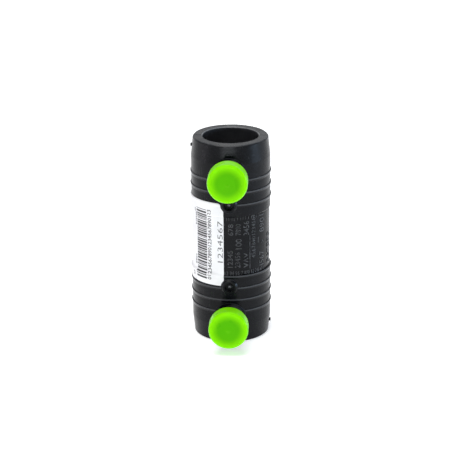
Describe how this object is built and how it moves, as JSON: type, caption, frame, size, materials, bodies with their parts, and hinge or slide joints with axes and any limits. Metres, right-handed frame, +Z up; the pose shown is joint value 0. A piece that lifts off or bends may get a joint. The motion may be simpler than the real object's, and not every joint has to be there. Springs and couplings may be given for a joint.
{
  "type": "electrofusion coupler",
  "caption": "Black polyethylene electrofusion pipe coupler with capped brass terminals, fusion indicators, ribbed barrel, coiled heating wire and a white label.",
  "frame": {"origin": "centre of the lower end, on the bore axis, at the plane of the end face", "axes": "+Z up along the bore, -Y the way both terminals point, +X to the right of someone who faces the terminals"},
  "size_m": [0.037, 0.0525, 0.0946],
  "materials": {
    "black_polyethylene": "satin",
    "cap_plastic": "gloss",
    "brass": "satin",
    "resistance_wire": "satin",
    "indicator_plastic": "satin",
    "label_film": "satin"
  },
  "bodies": {
    "coupler": {"coupler_body": "black_polyethylene", "heating_wire": "resistance_wire", "terminal_pin_lower": "brass", "terminal_pin_upper": "brass", "label": "label_film"},
    "lower_cap": {"terminal_cap_lower": "cap_plastic"},
    "upper_cap": {"terminal_cap_upper": "cap_plastic"},
    "lower_indicator": {"fusion_indicator_lower": "indicator_plastic"},
    "upper_indicator": {"fusion_indicator_upper": "indicator_plastic"}
  },
  "joints": [
    {"name": "lower_cap_pull", "type": "slide", "parent": "coupler", "child": "lower_cap", "axis": [0, -1, 0], "range_m": [0, 0.045]},
    {"name": "upper_cap_pull", "type": "slide", "parent": "coupler", "child": "upper_cap", "axis": [0, -1, 0], "range_m": [0, 0.045]},
    {"name": "lower_indicator_rise", "type": "slide", "parent": "coupler", "child": "lower_indicator", "axis": [0, -1, 0], "range_m": [0, 0.0018]},
    {"name": "upper_indicator_rise", "type": "slide", "parent": "coupler", "child": "upper_indicator", "axis": [0, -1, 0], "range_m": [0, 0.0018]}
  ]
}
